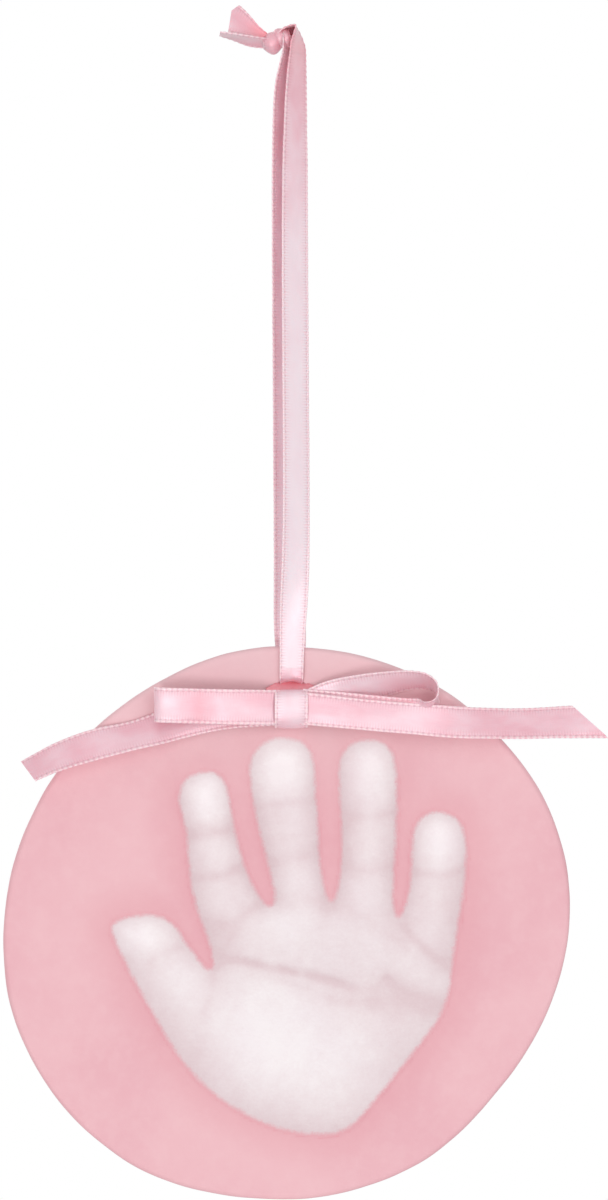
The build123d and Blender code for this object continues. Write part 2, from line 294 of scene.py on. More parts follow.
def smooth_line(points, steps=16):
    """Points along the smooth line that has these control points."""
    curve = bpy.data.curves.new("route", "CURVE")
    curve.dimensions = "3D"
    curve.resolution_u = steps
    spline = curve.splines.new("NURBS")
    spline.points.add(len(points) - 1)
    for spot, point in zip(spline.points, points):
        spot.co = (*point, 1)
    spline.order_u = 3
    spline.use_endpoint_u = True
    holder = bpy.data.objects.new("route", curve)
    bpy.context.collection.objects.link(holder)
    mesh = bpy.data.meshes.new_from_object(holder)
    line = np.array([vertex.co for vertex in mesh.vertices])
    bpy.data.objects.remove(holder)
    bpy.data.curves.remove(curve)
    bpy.data.meshes.remove(mesh)
    return line


def upright(px, py, depth, lean=0.0, width=ribbon_width, cup=0.0):
    """Station of a ribbon that runs sideways. Lean tips its upper edge away from the viewer, in degrees."""
    angle = math.radians(lean)
    return at(px, py, depth), Vector((0, math.sin(angle), math.cos(angle))), width, cup


def hanging(px, py, depth, twist, width=ribbon_width, cup=0.0):
    """Station of a ribbon that runs down. Twist is 0 where it is edge on to the viewer, in degrees."""
    angle = math.radians(twist)
    return at(px, py, depth), Vector((math.sin(angle), math.cos(angle), 0)), width, cup


def route(kind, rows):
    """Stations of one kind, from rows of what it takes."""
    return [kind(*row) for row in rows]


# Half of a ribbon's cross section: share of the half width, share of the half thickness
ribbon_section = (
    (1.0, 0.45), (0.985, 0.95), (0.955, 1.25), (0.91, 1.25), (0.87, 0.95), (0.83, 0.7),
    (0.78, 1.0), (0.62, 1.0), (0.42, 1.0), (0.22, 1.0),
)
edge_shares, edge_thick = np.array(ribbon_section).T
across_shares = np.concatenate([-edge_shares, [0.0], edge_shares[::-1]])
thick_shares = np.concatenate([edge_thick, [1.0], edge_thick[::-1]])


def even_route(stations):
    """Even steps along the smooth route through a ribbon's stations.

    Returns the distance along it in millimetres, and the place, width direction, width and cup there."""
    points = [station[0] for station in stations]
    sides = [tuple(station[1].normalized()) for station in stations]
    sizes = [(station[2], station[3], 0) for station in stations]
    line, side, size = smooth_line(points), smooth_line(sides), smooth_line(sizes)
    run = np.concatenate([[0], np.cumsum(np.linalg.norm(np.diff(line, axis=0), axis=1))])
    count = max(8, round(run[-1] / (bead_pitch * mm / steps_per_bead)))
    steps = np.linspace(0, run[-1], count)
    line, side, size = [
        np.stack([np.interp(steps, run, column) for column in table.T], axis=1)
        for table in (line, side, size)
    ]
    return steps / mm, line, side, size[:, :1], size[:, 1:2]


def ribbon_wave(along, share, seed):
    """Height of a ribbon's soft waves at a place along it and a share of its half width."""
    slow = noise.noise((along * 0.16, share * 0.9, seed))
    quick = noise.noise((along * 0.5, share * 1.6, seed + 7))
    return slow + 0.4 * quick


def strip_faces(count, turn):
    """Faces of a ribbon with this many rings of this many vertices, closed at both ends."""
    faces = []
    for i in range(count - 1):
        for j in range(turn):
            k = (j + 1) % turn
            faces.append((i * turn + j, (i + 1) * turn + j, (i + 1) * turn + k, i * turn + k))
    for ring, flip in ((0, False), (count - 1, True)):
        for j in range(turn // 2 - 1):
            first, last = ring * turn + j, ring * turn + turn - 1 - j
            cap = [first, first + 1, last - 1, last]
            faces.append(tuple(cap[::-1] if flip else cap))
    return faces


def ribbon(name, stations, wrinkle=0.05, seed=0.0, cuts=(), pale=(0.0,)):
    """Flat satin ribbon through stations of point, width direction, width and cup. Returns it and its line.

    Its end is cut off beyond the planes in cuts. The values in pale, evenly spaced along it, are painted
    light:
    positive ones paint a paler sheen, and negative ones paint shade as a deeper colour."""
    along, line, side, width, cup = even_route(stations)
    count = len(along)
    tangent = np.gradient(line, axis=0)
    tangent /= np.linalg.norm(tangent, axis=1)[:, None]
    side -= (side * tangent).sum(1)[:, None] * tangent
    side /= np.linalg.norm(side, axis=1)[:, None]
    facing = np.cross(tangent, side)

    # Beads of the woven edge, soft waves and cup
    beads = np.cos(2 * math.pi * along / bead_pitch)[:, None]
    edge = np.abs(across_shares) > bead_zone_share
    offset = across_shares[None] * width / 2 + np.sign(across_shares)[None] * edge * (bead_reach * beads)
    thick = thick_shares[None] * ribbon_half_thickness * (1 + edge * bead_swell_share * beads)
    waves = np.array([[ribbon_wave(place, share, seed) for share in across_shares] for place in along])
    lift = wrinkle * waves - cup * across_shares[None] ** 2

    middle = line[:, None] + (side[:, None] * offset[..., None] + facing[:, None] * lift[..., None]) * mm
    upper = middle + facing[:, None] * thick[..., None] * mm
    lower = middle - facing[:, None] * thick[..., None] * mm
    rings = np.concatenate([upper, lower[:, ::-1]], axis=1)
    turn = rings.shape[1]
    made = new_object(name, rings.reshape(-1, 3), strip_faces(count, turn))
    across = np.concatenate([across_shares, across_shares[::-1]]) * ribbon_width / 2
    give_values(made, "along", np.repeat(along, turn) + seed * 13)
    give_values(made, "across", np.tile(across, count))
    values = np.resize(pale, max(2, len(pale)))
    painted_light_along = np.interp(np.linspace(0, 1, count), np.linspace(0, 1, len(values)), values)
    give_values(made, "pale", np.repeat(painted_light_along, turn))
    for spot, outwards in cuts:
        cut_end(made, spot, outwards)
        line = line[(line - np.array(spot)) @ np.array(outwards) < 0]
    finish_ribbon(made)
    return made, line


def cut_end(made, spot, outwards):
    """Cut a mesh off square to its thickness beyond a spot."""
    shape = bmesh.new()
    shape.from_mesh(made.data)
    everything = shape.verts[:] + shape.edges[:] + shape.faces[:]
    bmesh.ops.bisect_plane(shape, geom=everything, plane_co=spot, plane_no=outwards, clear_outer=True)
    rim = [e for e in shape.edges if e.is_boundary]
    bmesh.ops.holes_fill(shape, edges=rim, sides=0)
    shape.to_mesh(made.data)
    shape.free()


def finish_ribbon(made):
    """Sharpen a ribbon's edges and cover it in satin."""
    face_outwards(made)
    made.data.set_sharp_from_angle(angle=math.radians(60))
    made.data.materials.append(satin)


# Materials

def colour(screen):
    """Linear colour from screen values of 0 to 255."""
    parts = []
    for value in screen:
        share = value / 255
        parts.append(share / 12.92 if share <= 0.04045 else ((share + 0.055) / 1.055) ** 2.4)
    return (*parts, 1.0)


class Shader:
    """Adds and joins the nodes of one material. A value is a number or another node's output."""

    def __init__(self, name):
        self.material = bpy.data.materials.new(name)
        self.material.use_nodes = True
        self.tree = self.material.node_tree
        self.surface = self.tree.nodes["Principled BSDF"]

    def add(self, kind, inputs=None, **settings):
        node = self.tree.nodes.new(kind)
        for key, value in settings.items():
            setattr(node, key, value)
        for key, value in (inputs or {}).items():
            self.put(node.inputs[key], value)
        return node

    def put(self, socket, value):
        if isinstance(value, bpy.types.NodeSocket):
            self.tree.links.new(value, socket)
        else:
            socket.default_value = value

    def maths(self, kind, first, second=0.0, third=0.0):
        return self.add("ShaderNodeMath", {0: first, 1: second, 2: third}, operation=kind).outputs[0]

    def times(self, first, second):
        return self.maths("MULTIPLY", first, second)

    def ramp(self, value, low, high, out_low=0.0, out_high=1.0):
        """Smooth rise, or fall, of the output while the value goes from low to high."""
        inputs = {"Value": value, "From Min": low, "From Max": high, "To Min": out_low, "To Max": out_high}
        return self.add("ShaderNodeMapRange", inputs, interpolation_type="SMOOTHSTEP").outputs[0]

    def mix(self, share, first, second):
        """Blend of two colours, each another node's output or screen values."""
        node = self.add("ShaderNodeMix", data_type="RGBA")
        for index, value in ((0, share), (6, first), (7, second)):
            self.put(node.inputs[index], colour(value) if isinstance(value, tuple) else value)
        return node.outputs[2]

    def stored(self, name):
        """Number stored on the mesh."""
        return self.add("ShaderNodeAttribute", attribute_name=name).outputs["Fac"]

    def stretched(self, vector, scale):
        return self.add("ShaderNodeMapping", {"Vector": vector, "Scale": scale}).outputs[0]

    def clouds(self, vector, scale, detail=3.0, roughness=0.55):
        inputs = {"Vector": vector, "Scale": scale, "Detail": detail, "Roughness": roughness}
        return self.add("ShaderNodeTexNoise", inputs).outputs["Fac"]

    def bump(self, height, distance, strength=1.0, below=None):
        inputs = {"Height": height, "Distance": distance, "Strength": strength}
        if below is not None:
            inputs["Normal"] = below
        return self.add("ShaderNodeBump", inputs).outputs[0]

    def finish(self, **inputs):
        """Set the surface's inputs and return the material."""
        for key, value in inputs.items():
            self.put(self.surface.inputs[key.replace("_", " ")], value)
        return self.material


def satin_material():
    """Pink satin with beaded edges, a row of stitches inside each edge and fine threads along it."""
    s = Shader("pink_satin")
    along, across, pale = s.stored("along"), s.stored("across"), s.stored("pale")

    def ripple(per_bead, low, high):
        """Bands across the ribbon, so many to a bead."""
        turns = s.times(along, 2 * math.pi * per_bead / bead_pitch)
        return s.ramp(s.maths("COSINE", turns), low, high)

    def woven(along_scale, across_scale, detail=2.0, roughness=0.55):
        """Clouds drawn out along the ribbon or across it."""
        x, y = s.times(along, along_scale), s.times(across, across_scale)
        place = s.add("ShaderNodeCombineXYZ", {"X": x, "Y": y}).outputs[0]
        return s.clouds(place, 1.0, detail, roughness)

    # Distances from the ribbon's middle are in millimetres
    edge = s.maths("ABSOLUTE", across)
    beads = ripple(1, -0.5, 0.8)
    selvedge = s.ramp(edge, 2.9, 3.06)
    row = s.times(s.ramp(edge, 2.66, 2.84), s.ramp(edge, 2.92, 3.04, 1.0, 0.0))
    stitches = s.times(row, s.ramp(beads, 0.25, 0.8, 1.0, 0.25))
    pulls = s.times(ripple(2, -0.2, 1.0), s.ramp(edge, 1.2, 3.0))
    threads = woven(0.35, 7.0, 3.0, 0.6)
    picks = woven(5.0, 0.9)
    wide = woven(0.11, 0.2)

    cloth = s.mix(s.ramp(wide, 0.28, 0.72), satin_deep, satin_light)
    cloth = s.mix(s.ramp(threads, 0.35, 0.75, 0.0, 0.3), cloth, satin_thread)
    cloth = s.mix(s.ramp(picks, 0.45, 0.8, 0.0, 0.18), cloth, satin_pick)
    # Painted sheen: paler, near-white satin where the pale values are positive
    cloth = s.mix(s.ramp(pale, 0.0, 1.0, 0.0, 0.75), cloth, satin_painted_sheen)
    # Painted shade: deeper, redder satin where the pale values are negative
    cloth = s.mix(s.ramp(pale, -1.0, 0.0, 0.85, 0.0), cloth, satin_shaded)
    cloth = s.mix(s.times(pulls, 0.34), cloth, satin_pulled)
    cloth = s.mix(s.times(stitches, 0.42), cloth, satin_stitch)
    bright = s.times(selvedge, s.ramp(beads, 0.0, 1.0, 0.15, 0.9))
    # The bright beads fade out where painted shade deepens the satin
    bright = s.times(bright, s.ramp(pale, -0.5, -0.1))
    cloth = s.mix(bright, cloth, satin_bead)
    height = s.maths("ADD", s.times(threads, 0.6), s.times(picks, 0.35))
    height = s.maths("SUBTRACT", height, s.maths("ADD", s.times(stitches, 0.8), pulls))
    return s.finish(
        Base_Color=cloth, Normal=s.bump(height, 0.03 * mm, 0.7), Metallic=0.2,
        Roughness=s.ramp(threads, 0.3, 0.8, 0.36, 0.46), Specular_IOR_Level=0.6,
        Sheen_Weight=0.35, Sheen_Roughness=0.35,
        Subsurface_Weight=0.3, Subsurface_Radius=(1.0, 0.5, 0.54), Subsurface_Scale=0.6 * mm,
    )


# Hanging ribbon. The two strands are 7 mm flat ribbon, from the knot to the plaque's hole.
# A row is a place in the photograph, a depth and a twist, then a width and a cup where they differ.

front_route = (
    (297.9, 52, -0.15, 27), (296.8, 68, -0.25, 33), (295.6, 108, -0.5, 39), (294.9, 170, -0.9, 46),
    (294.9, 260, -1.45, 48), (295.7, 380, -2.2, 48), (296.4, 480, -2.85, 48),
    (295.8, 552, -3.35, 52, 6.8, -0.1), (293.2, 604, -3.75, 68, 5.9, -0.35),
    (291.9, 640, -4.05, 86, 4.9, -0.3), (291.6, 668, -4.2, 90, 4.8, -0.25),
)
rear_route = (
    (290.4, 52, 0.15, 27), (288.9, 64, 0.25, 32), (285.0, 84, 0.35, 36), (284.2, 116, 0.55, 41),
    (284.6, 180, 0.95, 47), (285.2, 280, 1.55, 48), (285.9, 400, 2.3, 48), (286.8, 500, 2.95, 49),
    (288.2, 572, 3.4, 55, 6.9), (290.0, 628, 4.05, 75, 6.7, 0.1), (291.0, 656, 4.2, 85, 6.0, 0.3),
    (291.2, 668, 4.2, 88, 5.2, 0.6),
)
# Painted light along each strand, top to foot: paler sheen where positive, painted shade where negative
front_painted_light = (-0.4, 0.35, 0.75, 0.8, 0.85, 0.9, 0.75)
rear_painted_light = (0.2, 0.4, 0.45, 0.5, 0.7)


def hanging_strands():
    """The front and rear strands, each with its line."""
    front = ribbon("front_ribbon_strand", route(hanging, front_route), 0.06, 1.0, pale=front_painted_light)
    rear = ribbon("rear_ribbon_strand", route(hanging, rear_route), 0.06, 2.0, pale=rear_painted_light)
    return *front, *rear


def slanted_cut(px_top, py_top, px_bottom, py_bottom, hand):
    """Plane of a tail's cut end, through two pixels, facing out to the hand's side."""
    top, bottom = at(px_top, py_top), at(px_bottom, py_bottom)
    along = (top - bottom).normalized()
    return top, Vector((along.z, 0, -along.x)) * hand


def over_the_nail():
    """Ribbon from the right-hand strand over the nail and down into the knot on its left."""
    rows = (
        (297.9, 52.6, -0.15, 27), (298.0, 45, -0.1, 26), (297.6, 39, 0, 20), (297.2, 33, 0, 12),
        (296.8, 28, 0, 5), (295.6, 24.0, 0, 0), (291.0, 24.9, 0, 0, 6.6), (286.5, 26.2, 0, 0, 5.6),
        (281.5, 28.4, 0, 0, 4.4), (277, 33.0, 0, 0, 3.6),
    )
    # Coloured deeper as painted shade
    return ribbon("ribbon_over_nail", route(hanging, rows), -0.06, 1.0, pale=(-0.45, -0.3))[0]


def below_the_nail():
    """Top of the left-hand strand, which leaves the knot beside the nail."""
    rows = (
        (290.4, 52.6, 0.15, 27), (290.5, 46, 0.15, 25), (290.7, 41, 0.3, 26), (290.8, 35, 0.7, 28, 6.0),
        (290.5, 29.0, 1.0, 30, 5.4), (288.0, 25.5, 1.0, 30, 4.6),
    )
    return ribbon("ribbon_below_knot", route(hanging, rows), -0.06, 2.0)[0]


def ring_band(name, px, py, radius_y, radius_z, width, cup, tilt, seed, wrinkle=0.2):
    """Band of ribbon wound once round a sideways axis, which tilt turns towards +Z, in degrees."""
    turned = Matrix.Rotation(math.radians(-tilt), 3, "Y")
    middle = at(px, py)
    side = turned @ Vector((1, 0, 0))
    stations = []
    for angle in range(-15, 376, 30):
        turn = math.radians(angle)
        swell = 1.07 + 0.05 * math.sin(2 * turn + seed)
        spot = Vector((0, radius_y * math.cos(turn), radius_z * math.sin(turn))) * (mm * swell)
        stations.append((middle + turned @ spot, side, width, cup))
    # Coloured deeper all round as painted shade
    return ribbon(name, stations, wrinkle, seed, pale=(-0.3,))[0]


def cut_tail(name, stations, wrinkle, seed, pale, cuts=()):
    """Cut end of the knot, from stations of pixel, depth, side, width and cup."""
    line = [(at(px, py, depth), Vector(side), width, cup) for px, py, depth, side, width, cup in stations]
    return ribbon(name, line, wrinkle, seed, cuts, pale)[0]


def knot_pieces():
    """Knot beside the nail: a fat turn, two smaller pleats against the nail and two cut ends."""
    bulb = ring_band("knot_bulb", 272.4, 41.2, 2.15, 1.95, 4.0, 1.25, 6, 4.0, 0.32)
    left_pleat = ring_band("knot_pleat_left", 280.5, 36.4, 2.0, 1.7, 2.6, 0.6, 20, 5.0, 0.12)
    right_pleat = ring_band("knot_pleat_right", 285.8, 36.9, 2.2, 1.9, 2.0, 0.45, 14, 6.0, 0.12)
    flare = (0.48, 0.5, 0.87)
    # Painted shade deepens both cut ends near the knot, and a paler sheen lies further along the lower one
    upper = cut_tail("knot_tail_upper_end", (
        (268, 37.9, -0.5, (0.48, 0.4, 0.87), 1.6, 0.2), (256.9, 31.8, -0.9, flare, 2.3, 0.3),
        (248.2, 27.0, -1.1, flare, 4.2, 0.35), (239.4, 22.1, -1.3, flare, 6.0, 0.25),
        (230.7, 17.3, -1.3, flare, 7.4, 0.1), (219, 10.9, -1.3, flare, 7.6, 0.0),
    ), 0.15, 7.0, (-0.75, -0.55, -0.25, -0.1, -0.05), (
        slanted_cut(231.6, 8.0, 227.8, 33.0, -1), slanted_cut(240.0, 2.6, 230.6, 10.0, -1),
    ))
    lower = cut_tail("knot_tail_lower_end", (
        (268, 41.4, -0.2, (0, -0.86, 0.5), 3.2, 0.2), (259, 40.0, -0.3, (0, -0.92, 0.38), 4.6, 0.3),
        (248, 38.4, -0.4, (0, -0.96, 0.28), 5.8, 0.2), (236, 35.8, -0.5, (0, -0.99, 0.14), 6.8, 0.1),
        (219.6, 32.6, -0.6, (0, -1.0, 0.02), 7.0, 0.0),
    ), 0.12, 8.0, (-0.3, -0.1, 0.1, 0.1))
    return bulb, left_pleat, right_pleat, upper, lower


def through_the_hole():
    """Cupped ribbon that turns into the hole in front and comes up behind, and carries the plaque."""
    across = Vector((1, 0, 0))
    rows = (
        (291.6, 667.6, -4.2, 4.8, -0.25), (291.5, 673.5, -4.2, 4.8, -0.35),
        (291.3, 680.0, -3.8, 4.7, -0.65), (291.0, 681.2, -2.2, 4.2, -0.78),
        (291.0, 681.2, 0.00, 4.2, -0.78), (291.0, 681.2, 2.2, 4.2, -0.78),
        (291.1, 680.6, 3.7, 4.5, -0.8), (291.2, 674.5, 4.2, 4.9, -0.7), (291.2, 667.6, 4.2, 5.2, -0.6),
    )
    stations = [(at(px, py, depth), across, width, cup) for px, py, depth, width, cup in rows]
    # Painted sheen in front, painted shade inside the hole, and a paler sheen again up the back
    return ribbon("ribbon_through_hole", stations, 0.03, 9.0, pale=(0.5, -0.1, -0.2, 0.0, 0.2, 0.3))[0]


# Bow

def tie_turn():
    """Turn of the bow's ribbon that lines the sides and foot of the hole, wider at the foot."""
    stations = []
    for angle in range(150, 391, 30):
        turn = math.radians(angle)
        foot = max(0.0, -math.sin(turn))
        outward = Vector((math.cos(turn), 0, math.sin(turn)))
        spot = at(hole_px, hole_py, lining_depth - foot_nearer * foot) + outward * (lining_radius * mm)
        side = Vector((0, -1, 0)) + outward * lining_lean
        stations.append((spot, side, lining_width + foot_wider * foot, 0.0))
    # Coloured deep red as painted shade inside the hole
    return ribbon("bow_tie_lining", stations, 0.04, 10.0, pale=(-0.9,))[0]


def tie_folds():
    """Bunched ribbon from the bow into the hole, as folds that lie over each other."""
    brow = (
        (266.5, 690.0, -4.6, 10, 0.9, 0.1), (276.0, 687.4, -4.3, 30, 1.9, 0.1),
        (284.0, 686.0, -3.4, 42, 2.7, 0.1), (292.0, 685.6, -2.9, 48, 3.1, 0.1),
        (300.0, 686.2, -3.4, 44, 2.8, 0.1), (307.0, 687.4, -4.2, 34, 1.9, 0.1),
        (315.0, 688.6, -4.6, 10, 0.9, 0.1),
    )
    # The brow and the folds below it are coloured deeper as painted shade
    folds = [ribbon("bow_tie_brow", route(upright, brow), 0.24, 10.4, pale=(-0.75,))[0]]
    middles = (
        (291.4, 686.5, -1.5, 42, 10.5), (290.6, 692.3, -1.9, 50, 12.5), (291.6, 698.5, -2.5, 48, 12.5),
        (290.6, 704.0, -2.6, -35, 10.5),
    )
    for index, (px, py, depth, lean, reach) in enumerate(middles):
        stations = []
        for share, bend in ((-1.0, -1.0), (-0.55, 0.4), (0.0, 1.0), (0.5, 0.2), (1.0, -1.2)):
            sunk = depth + 1.1 * abs(share) ** 1.5
            stations.append(upright(px + reach * share, py - 0.9 * bend, sunk, lean + 8 * bend, 2.9, 0.25))
        name, seed = f"bow_tie_fold_{index + 1}", 11.0 + index * 0.7
        folds.append(ribbon(name, stations, 0.16, seed, pale=(-0.6,))[0])
    return folds


def bow_band():
    """Centre band of the bow, wound round the roots of the loops and tails."""
    across = Vector((1, 0, 0.01))
    rows = (
        (-4.9, 709), (-4.85, 697), (-5.05, 691.2), (-6.00, 689.6), (-7.1, 690.4), (-7.8, 694.5),
        (-7.95, 702), (-8.00, 710), (-7.9, 718), (-7.35, 725.2), (-6.2, 728.2), (-5.1, 726.4),
        (-4.9, 719), (-4.9, 708),
    )
    stations = [(at(hole_px + 0.4, py, depth), across, 6.7, 0.12) for depth, py in rows]
    # Painted light round the band: a painted highlight across its front, painted shade at its foot
    band_painted_light = (0.0, 0.0, 0.1, 0.5, 0.6, 0.2, -0.35, 0.0, 0.0)
    return ribbon("bow_band", stations, 0.07, 12.0, pale=band_painted_light)[0]


# Loops and tails. A row is a place in the photograph, a depth and a lean, then a width where it differs.
# The right tail runs in front of the right loop, and the left tail behind the left loop.
left_loop_route = (
    (279, 707.2, -6.9), (262, 707.0, -8.1), (236, 706.5, -9.3), (208, 706.0, -8.7), (182, 705.2, -9.8),
    (164, 704.7, -9.3), (155.3, 704.5, -8.6), (155.3, 704.6, -6.9), (166, 705.2, -6.3),
    (190, 706.0, -6.2), (225, 707.0, -6.2), (258, 707.5, -6.4), (282, 707.5, -6.5),
)
right_loop_route = (
    (302, 706.0, -6.7, 0), (325, 707.6, -7.1, 0), (355, 710.6, -7.5, -2), (388, 713.8, -7.6, -6),
    (412, 715.6, -7.7, -12), (427, 713.0, -7.7, -28), (434.5, 705.0, -7.6, -50),
    (437.5, 695.0, -7.6, -66), (434.5, 685.5, -7.4, -68), (424, 680.0, -7.2, -63),
    (407, 679.8, -7.0, -56), (388, 683.0, -6.9, -46), (365, 688.0, -6.8, -34), (343, 693.5, -6.6, -20),
    (320, 700.0, -6.4, -7, 6.6), (300, 705.5, -6.3, 0, 4.6),
)
left_tail_route = (
    (285, 707.5, -5.4), (255, 709.0, -5.4), (228, 711.0, -5.4), (203, 715.5, -5.4, 4),
    (178, 721.8, -5.5, 12), (157, 729.0, -5.9, 27), (132, 736.0, -6.5, 38), (98, 743.1, -6.9, 27),
    (62, 754.7, -7.3, 35), (38, 765.8, -7.4, 42), (14, 778.6, -7.4, 48),
)
right_tail_route = (
    (296, 707.8, -7.3, 0, 6.6), (308, 708.4, -7.4, 0, 6.5), (326, 710.4, -8.1, 0, 6.4),
    (355, 713.4, -8.5, 2, 6.2), (388, 716.4, -8.6, 2, 6.2), (412, 718.2, -8.7, 2, 6.2),
    (432, 720.0, -8.7, 6, 6.3), (455, 721.9, -8.3, 20, 6.7), (485, 723.0, -7.8, 30),
    (520, 723.5, -7.5, 32), (555, 722.0, -7.4, 28), (590, 721.0, -7.3, 18), (620, 720.5, -7.2, 12),
)


def bow():
    """The bow's two tails, each with its line, and its two loops."""
    left_cut = slanted_cut(21.7, 762, 36.4, 780, -1)
    right_cut = slanted_cut(573, 706.5, 605, 735, 1)
    left_tail, left_line = ribbon("bow_left_tail", route(upright, left_tail_route), 0.1, 13.0, (left_cut,))
    # Painted light along the right tail: painted shade at its root, paler sheen further out
    right_tail, right_line = ribbon(
        "bow_right_tail", route(upright, right_tail_route), 0.1, 14.0, (right_cut,),
        (-0.3, 0.05, 0.25, 0.3, 0.15, 0.0, 0.15, 0.15, 0.1),
    )
    # Painted light along the loops: paler sheen where positive, painted shade where negative
    loop_painted_light = (0.0, 0.1, 0.2, 0.15, 0.0, -0.25, 0.1, 0.45, 0.35) + 8 * (0.0,)
    curl_painted_light = (0.0, 0.0, -0.2, -0.3, 0.2, 0.4, 0.5, 0.5, 0.35)
    loop, curl = route(upright, left_loop_route), route(upright, right_loop_route)
    left_loop = ribbon("bow_left_loop_ribbon", loop, 0.1, 15.0, pale=loop_painted_light)[0]
    right_loop = ribbon("bow_right_loop_ribbon", curl, 0.1, 16.0, pale=curl_painted_light)[0]
    return left_tail, left_line, right_tail, right_line, left_loop, right_loop


# Plaque

def outline_mm(points):
    """Pixels of the photograph as millimetres to the right of the nail and above it."""
    return (np.array(points, float) - (nail_px, nail_py)) * (pixel_mm, -pixel_mm)


def distance_to_line(spots, line):
    """Shortest distance of each spot from a chain of straight runs."""
    best = np.full(len(spots), np.inf)
    for start, end in zip(line[:-1], line[1:]):
        run = end - start
        share = np.clip((spots - start) @ run / (run @ run), 0, 1)
        best = np.minimum(best, ((spots - start - share[:, None] * run) ** 2).sum(1))
    return np.sqrt(best)


def is_inside(spots, loop):
    """Whether each spot lies inside a closed outline."""
    inside = np.zeros(len(spots), bool)
    x, z = spots.T
    for (x0, z0), (x1, z1) in zip(loop, np.roll(loop, -1, axis=0)):
        if z0 != z1:
            inside ^= ((z0 > z) != (z1 > z)) & (x < (x1 - x0) * (z - z0) / (z1 - z0) + x0)
    return inside


def hand_distance(spots):
    """Distance of each spot from the edge of the handprint, positive inside it, in millimetres."""
    count = 5 * len(hand_outline)
    loop = around(outline_mm(hand_outline), np.arange(count) / count)
    distance = distance_to_line(spots, np.vstack([loop, loop[:1]]))
    return np.where(is_inside(spots, loop), distance, -distance)


def soft_spots(pixels, spots):
    """Sum of soft round spots, each a place, a half width, a half height and a strength."""
    total = np.zeros(len(pixels))
    for px, py, half_width, half_height, strength in spots:
        reach = ((pixels[:, 0] - px) / half_width) ** 2 + ((pixels[:, 1] - py) / half_height) ** 2
        total += strength * np.exp(-reach)
    return total


def print_shape(spots, inside):
    """How deep the hand pressed in, in millimetres, and how grey the print is, from 0 to 1: a grey tone of
    the clay with painted shade and painted highlight on it.

    The clay that bulged up round the hand has a negative depth."""
    pixels = spots / (pixel_mm, -pixel_mm) + (nail_px, nail_py)
    wall = finger_wall + (palm_wall - finger_wall) * smooth_step(880, 1040, pixels[:, 1])
    share = np.clip(inside / wall, 0, 1)
    floor = print_depth + soft_spots(pixels, hand_pads)
    # A grey tone of the clay, the listed painted highlights and shades, and painted shade down the print's
    # walls
    print_tone_and_painted_shade = 0.42 + soft_spots(pixels, hand_painted_light) + 0.45 * (1 - share) ** 2
    ragged = np.array([noise.noise((a * 0.4, b * 0.4, 1.5)) for a, b in spots])
    for points, half_width, height in hand_creases:
        ends = len(points)
        line = around(outline_mm(points + points[::-1]), np.linspace(0, (ends - 1) / (2 * ends), 16))
        away = distance_to_line(spots, line) / half_width
        strength = height * (1 + 0.5 * ragged)
        floor -= strength * (0.5 * np.exp(-(away**2)) + 0.5 * np.exp(-((away / 3) ** 2)))
        # Painted shade: a darker line along each crease
        print_tone_and_painted_shade += strength * (0.7 * np.exp(-(away**2)) + 0.5 * np.exp(-((away / 2.5) ** 2)))
    coarse = np.array([noise.noise((a * 0.45, b * 0.45, 5.5)) for a, b in spots])
    skin = coarse + 0.55 * np.array([noise.noise((a * 0.95, b * 1.5, 2.5)) for a, b in spots])
    depth = (floor + 0.1 * skin) * (1 - (1 - share) ** 3)
    bulge = bulge_height * np.exp(-((np.minimum(inside, 0) + bulge_away) / bulge_width) ** 2)
    depth -= bulge * np.exp(-np.maximum(inside, 0) / 0.5)
    return depth, np.clip(print_tone_and_painted_shade - 0.1 * skin, 0, 1)


def undulation(x, z):
    """Slight unevenness of the hand-rolled clay, in millimetres."""
    return 0.16 * noise.noise((x * 0.035, z * 0.035, 3.1)) + 0.035 * noise.noise((x * 0.16, z * 0.16, 8.4))


def plaque_grid():
    """Front of the plaque as a square grid bent to its round outline, finer in the middle."""
    cells = grid_cells
    even = np.linspace(-1, 1, cells + 1)
    even = even * (0.8 + 0.2 * even**2)
    u, v = np.meshgrid(even, even, indexing="xy")
    x = (u * np.sqrt(1 - v**2 / 2)).ravel()
    z = (v * np.sqrt(1 - u**2 / 2)).ravel()
    turn_share = np.arctan2(z, x) / (2 * math.pi)
    reach = np.hypot(x, z) * (around(plaque_radii, turn_share) - front_rim_round)
    turn = turn_share * 2 * math.pi
    middle = at(plaque_px, plaque_py) / mm
    spots = np.stack([middle.x + reach * np.cos(turn), middle.z + reach * np.sin(turn)], axis=1)
    row = cells + 1
    faces = [
        (j * row + i, j * row + i + 1, (j + 1) * row + i + 1, (j + 1) * row + i)
        for j in range(cells) for i in range(cells)
    ]
    border = (
        list(range(cells)) + [j * row + cells for j in range(cells)]
        + [cells * row + i for i in range(cells, 0, -1)] + [j * row for j in range(cells, 0, -1)]
    )
    return spots, faces, border


def rim_rings(spots, heights, border):
    """Rings of points from the edge of the front over the rim to the back."""
    middle = at(plaque_px, plaque_py) / mm
    right, up = spots[border, 0] - middle.x, spots[border, 1] - middle.z
    turn, reach = np.arctan2(up, right), np.hypot(up, right)
    rings = []
    for angle in range(10, 181, 10):
        bend = math.radians(angle)
        if angle <= 90:
            outward = front_rim_round * math.sin(bend)
            depth = plaque_front + front_rim_round * (1 - math.cos(bend)) + math.cos(bend) * heights[border]
        else:
            outward = front_rim_round - back_rim_round * (1 - math.sin(bend))
            depth = np.full(len(turn), plaque_back - back_rim_round * (1 + math.cos(bend)))
        lump = [rim_lump * noise.noise((math.cos(t) * 9, math.sin(t) * 9, angle / 60)) for t in turn]
        out = reach + outward + np.array(lump) * math.sin(bend)
        x, z = middle.x + out * np.cos(turn), middle.z + out * np.sin(turn)
        rings.append(np.stack([x, depth, z], axis=1))
    return rings


